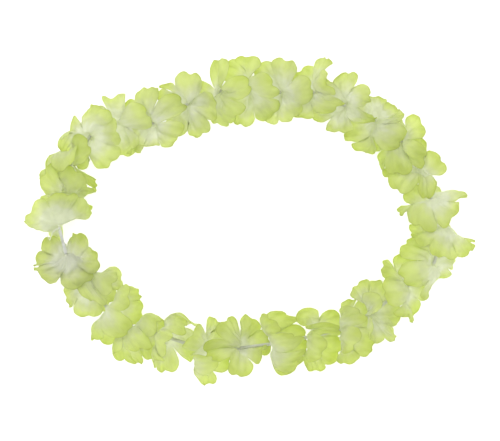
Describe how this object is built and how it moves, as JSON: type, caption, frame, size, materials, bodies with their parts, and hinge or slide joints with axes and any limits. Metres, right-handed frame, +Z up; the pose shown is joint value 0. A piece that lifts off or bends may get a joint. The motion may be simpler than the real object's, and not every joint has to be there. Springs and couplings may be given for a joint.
{
  "type": "fabric flower lei",
  "caption": "Flower garland for the neck: soft lime-edged cloth flowers and thin straw spacers on one closed thread, lying flat in an oval.",
  "frame": {"origin": "centre of the bounding box at its underside, on the surface the lei lies on", "axes": "+X along the oval's long axis, +Y across it, +Z up out of the oval's plane"},
  "size_m": [0.4491, 0.327, 0.0566],
  "materials": {
    "petal_cloth": "matte",
    "straw_plastic": "satin",
    "thread": "matte"
  },
  "bodies": {
    "root": {"flower_01": "petal_cloth", "flower_02": "petal_cloth", "flower_03": "petal_cloth", "flower_04": "petal_cloth", "flower_05": "petal_cloth", "flower_06": "petal_cloth", "flower_07": "petal_cloth", "flower_08": "petal_cloth", "flower_09": "petal_cloth", "flower_10": "petal_cloth", "flower_11": "petal_cloth", "flower_12": "petal_cloth", "flower_13": "petal_cloth", "flower_14": "petal_cloth", "flower_15": "petal_cloth", "flower_16": "petal_cloth", "flower_17": "petal_cloth", "flower_18": "petal_cloth", "flower_19": "petal_cloth", "flower_20": "petal_cloth", "flower_21": "petal_cloth", "flower_22": "petal_cloth", "flower_23": "petal_cloth", "flower_24": "petal_cloth", "flower_25": "petal_cloth", "flower_26": "petal_cloth", "flower_27": "petal_cloth", "flower_28": "petal_cloth", "flower_29": "petal_cloth", "flower_30": "petal_cloth", "spacer_tube_01": "straw_plastic", "spacer_tube_02": "straw_plastic", "spacer_tube_03": "straw_plastic", "spacer_tube_04": "straw_plastic", "spacer_tube_05": "straw_plastic", "spacer_tube_06": "straw_plastic", "spacer_tube_07": "straw_plastic", "spacer_tube_08": "straw_plastic", "spacer_tube_09": "straw_plastic", "spacer_tube_10": "straw_plastic", "spacer_tube_11": "straw_plastic", "spacer_tube_12": "straw_plastic", "spacer_tube_13": "straw_plastic", "spacer_tube_14": "straw_plastic", "spacer_tube_15": "straw_plastic", "spacer_tube_16": "straw_plastic", "spacer_tube_17": "straw_plastic", "spacer_tube_18": "straw_plastic", "spacer_tube_19": "straw_plastic", "spacer_tube_20": "straw_plastic", "spacer_tube_21": "straw_plastic", "spacer_tube_22": "straw_plastic", "spacer_tube_23": "straw_plastic", "spacer_tube_24": "straw_plastic", "spacer_tube_25": "straw_plastic", "spacer_tube_26": "straw_plastic", "spacer_tube_27": "straw_plastic", "spacer_tube_28": "straw_plastic", "spacer_tube_29": "straw_plastic", "string_loop": "thread"}
  },
  "joints": []
}
